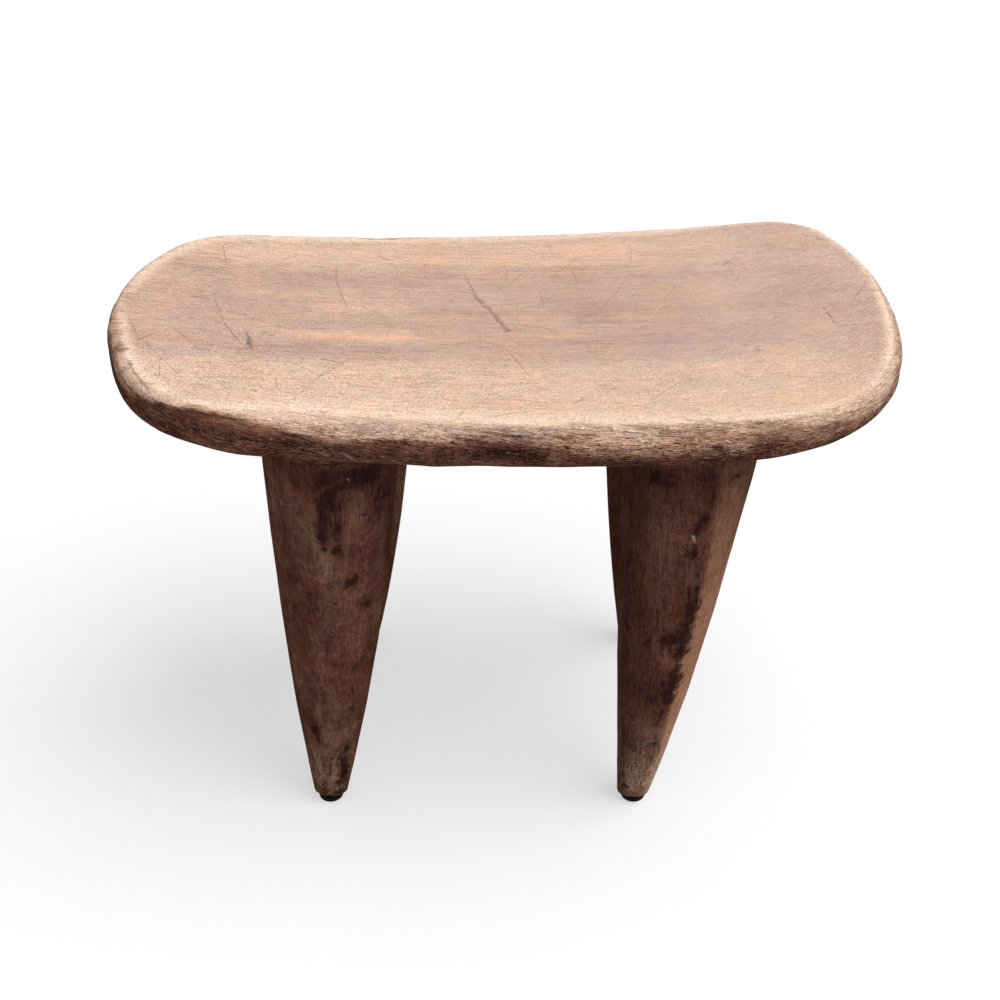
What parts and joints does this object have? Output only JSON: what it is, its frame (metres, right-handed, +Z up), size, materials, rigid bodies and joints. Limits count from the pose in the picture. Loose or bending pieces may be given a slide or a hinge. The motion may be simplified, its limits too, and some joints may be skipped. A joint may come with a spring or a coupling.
{
  "type": "senufo stool",
  "caption": "Low carved wooden stool: a thick, gently dished oblong seat with rounded ends on tapering round legs with nail-on glides.",
  "frame": {"origin": "on the floor, under the middle of the seat", "axes": "+X along the seat to the right as seen in the picture, +Y to the rear, +Z up"},
  "size_m": [0.58, 0.328, 0.4063],
  "materials": {
    "carved_wood": "worn, waxed, hand-carved",
    "glide_plastic": "moulded, scuffed",
    "nail_steel": "plain wire nail"
  },
  "bodies": {
    "root": {"stool_block": "carved_wood", "glide_front_left": "glide_plastic", "glide_front_right": "glide_plastic", "glide_rear_left": "glide_plastic", "glide_rear_right": "glide_plastic", "glide_nail_front_left": "nail_steel", "glide_nail_front_right": "nail_steel", "glide_nail_rear_left": "nail_steel", "glide_nail_rear_right": "nail_steel"}
  },
  "joints": []
}
